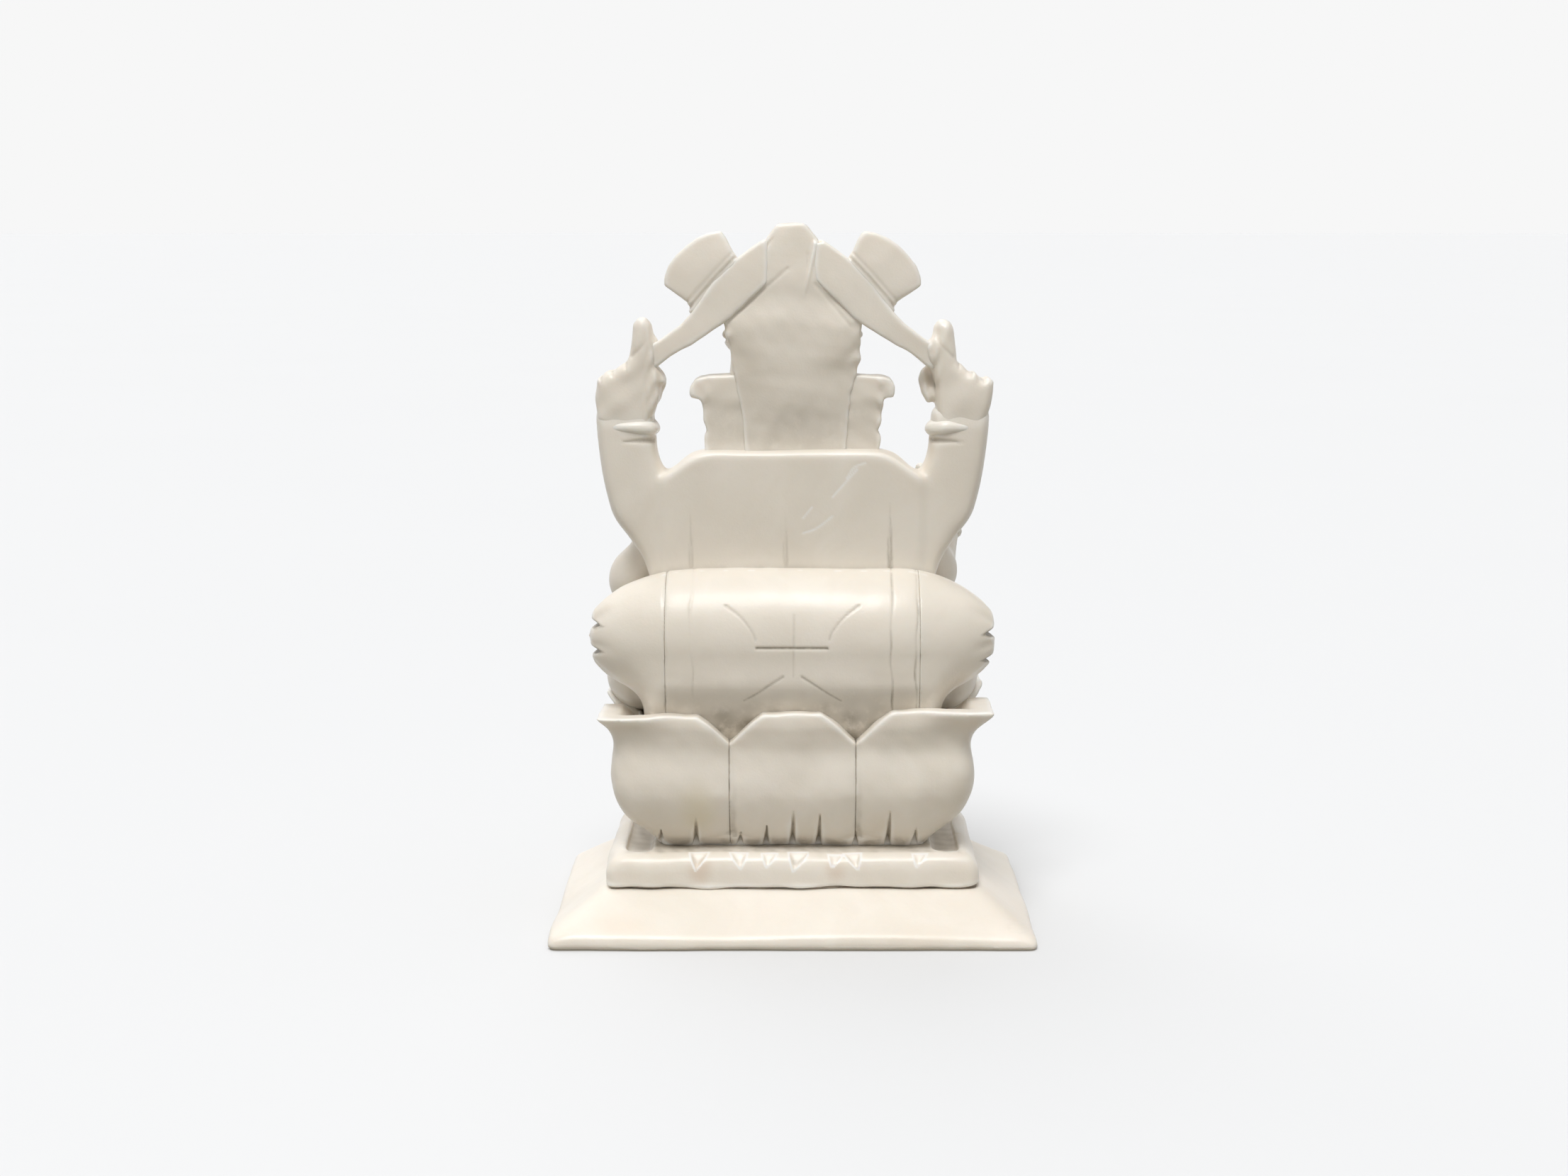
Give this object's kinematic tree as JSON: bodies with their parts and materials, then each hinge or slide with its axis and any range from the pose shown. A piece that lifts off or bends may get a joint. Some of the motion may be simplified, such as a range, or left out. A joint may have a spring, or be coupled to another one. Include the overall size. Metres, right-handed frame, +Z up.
{
  "type": "ganesha idol",
  "caption": "White marble devotional figure of a seated elephant-headed deity on a lotus seat, with a bolster behind, raised axes and a stepped plinth; it stands free on a flat base.",
  "frame": {"origin": "centre of the plinth's underside, on the surface the idol stands on", "axes": "+Z up; the idol faces -Y, so its flat back and the bolster are on the +Y side; +X is the idol's own left"},
  "size_m": [0.157, 0.102, 0.2286],
  "materials": {
    "marble": "polished",
    "bedding": "matte"
  },
  "bodies": {
    "root": {"adhesive_bed": "bedding", "axe_blade_left": "marble", "axe_blade_right": "marble", "axe_handle_left": "marble", "axe_handle_right": "marble", "base_plinth": "marble", "belly": "marble", "blessing_hand_right": "marble", "bolster": "marble", "bolster_end_left": "marble", "bolster_end_right": "marble", "bowl_hand_left": "marble", "crown_band": "marble", "crown_dome": "marble", "crown_finial": "marble", "ear_left": "marble", "ear_right": "marble", "foot_left": "marble", "foot_right": "marble", "front_arm_left": "marble", "front_arm_right": "marble", "front_bracelet_left": "marble", "front_bracelet_right": "marble", "front_forearm_left": "marble", "front_forearm_right": "marble", "head": "marble", "head_back": "marble", "hips": "marble", "lotus_core": "marble", "lotus_petal_back_centre": "marble", "lotus_petal_back_left": "marble", "lotus_petal_back_right": "marble", "lotus_petal_front_centre": "marble", "lotus_petal_front_left": "marble", "lotus_petal_front_right": "marble", "modak_bowl": "marble", "modak_sweets": "marble", "pedestal_step": "marble", "rear_arm_left": "marble", "rear_arm_right": "marble", "rear_bracelet_left": "marble", "rear_bracelet_right": "marble", "rear_hand_left": "marble", "rear_hand_right": "marble", "shin_left": "marble", "shin_right": "marble", "thigh_left": "marble", "thigh_right": "marble", "torso": "marble", "trunk": "marble", "tusk_left": "marble", "tusk_right": "marble"}
  },
  "joints": []
}
